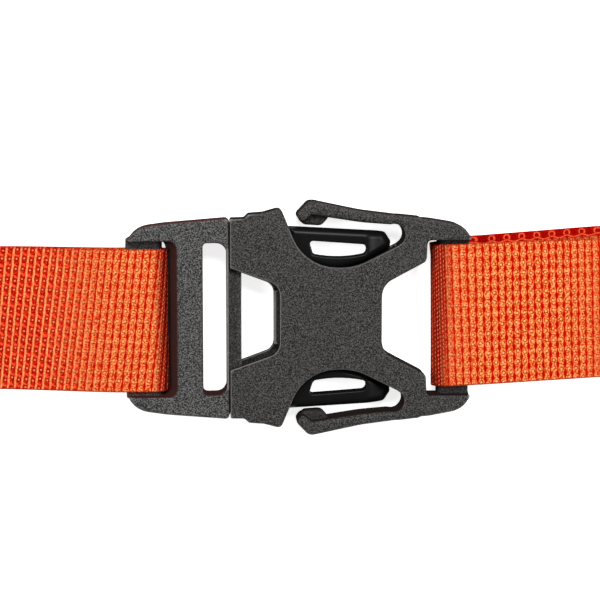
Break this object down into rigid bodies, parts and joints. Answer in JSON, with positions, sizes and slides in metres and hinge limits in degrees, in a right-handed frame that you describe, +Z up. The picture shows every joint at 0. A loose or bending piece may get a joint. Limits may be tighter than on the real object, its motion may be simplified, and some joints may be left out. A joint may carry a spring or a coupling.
{
  "type": "luggage strap",
  "caption": "Wide flat webbing luggage strap joined by a guarded side-release buckle, with a sewn ladder-lock adjuster and its spare length rolled and tied.",
  "frame": {"origin": "on the flat underside of the buckle's socket, midway between the buckle's two webbing bars and midway across the strap", "axes": "+X along the strap from plug to socket, +Y across it to the left, +Z up from the surface it lies on"},
  "size_m": [0.424, 0.0814, 0.0632],
  "materials": {
    "plastic": "fine grain",
    "smooth_plastic": "smooth satin",
    "webbing": "ribbed weave",
    "thread": "twisted thread",
    "tie": "hook and loop"
  },
  "bodies": {
    "socket": {"socket_body": "plastic", "short_strap_loop": "webbing"},
    "left_guard_arm": {"left_guard_arm": "plastic"},
    "right_guard_arm": {"right_guard_arm": "plastic"},
    "plug": {"plug_frame": "plastic", "long_strap_loop": "webbing"},
    "left_prong": {"left_prong": "smooth_plastic"},
    "right_prong": {"right_prong": "smooth_plastic"},
    "short_strap": {"short_strap_run": "webbing", "short_strap_stitching": "thread"},
    "long_strap": {"long_strap_run": "webbing", "long_strap_roll": "webbing", "long_strap_stitching": "thread", "roll_tie": "tie"},
    "ladder_lock": {"ladder_lock": "plastic"},
    "tie_tab": {"roll_tie_tab": "tie"}
  },
  "joints": [
    {"name": "plug_slide", "type": "slide", "parent": "socket", "child": "plug", "axis": [-1, 0, 0], "range_m": [0, 0.064], "deforming": ["left_prong", "right_prong"]},
    {"name": "left_arm_press", "type": "hinge", "parent": "socket", "child": "left_guard_arm", "pos_m": [0.0349, 0.0339, 0.006], "axis": [0, 0, 1], "range_deg": [0, 7.2], "stiffness_Nm_per_rad": 2.4},
    {"name": "right_arm_press", "type": "hinge", "parent": "socket", "child": "right_guard_arm", "pos_m": [0.0349, -0.0339, 0.006], "axis": [0, 0, -1], "range_deg": [0, 7.2], "stiffness_Nm_per_rad": 2.4},
    {"name": "left_prong_flex", "type": "hinge", "parent": "plug", "child": "left_prong", "pos_m": [-0.0202, 0.026, 0.006], "axis": [0, 0, -1], "range_deg": [0, 8.5], "stiffness_Nm_per_rad": 2.5},
    {"name": "right_prong_flex", "type": "hinge", "parent": "plug", "child": "right_prong", "pos_m": [-0.0202, -0.026, 0.006], "axis": [0, 0, 1], "range_deg": [0, 8.5], "stiffness_Nm_per_rad": 2.5},
    {"name": "long_strap_flex", "type": "hinge", "parent": "plug", "child": "long_strap", "pos_m": [-0.0615, 0, 0.0089], "axis": [0, 1, 0], "range_deg": [0, 60], "deforming": ["long_strap_loop"]},
    {"name": "short_strap_flex", "type": "hinge", "parent": "socket", "child": "short_strap", "pos_m": [0.0615, 0, 0.0089], "axis": [0, -1, 0], "range_deg": [0, 60], "deforming": ["short_strap_loop"]},
    {"name": "ladder_lock_pivot", "type": "hinge", "parent": "short_strap", "child": "ladder_lock", "pos_m": [0.152, 0, 0.0038], "axis": [0, -1, 0], "range_deg": [0, 75]},
    {"name": "tie_tab_peel", "type": "hinge", "parent": "long_strap", "child": "tie_tab", "pos_m": [-0.207, -0.014, 0.0617], "axis": [1, 0, 0], "range_deg": [0, 90]}
  ],
  "couplings": [
    {"joint": "left_prong_flex", "follows": "left_arm_press", "ratio": 1.18},
    {"joint": "right_prong_flex", "follows": "right_arm_press", "ratio": 1.18}
  ]
}
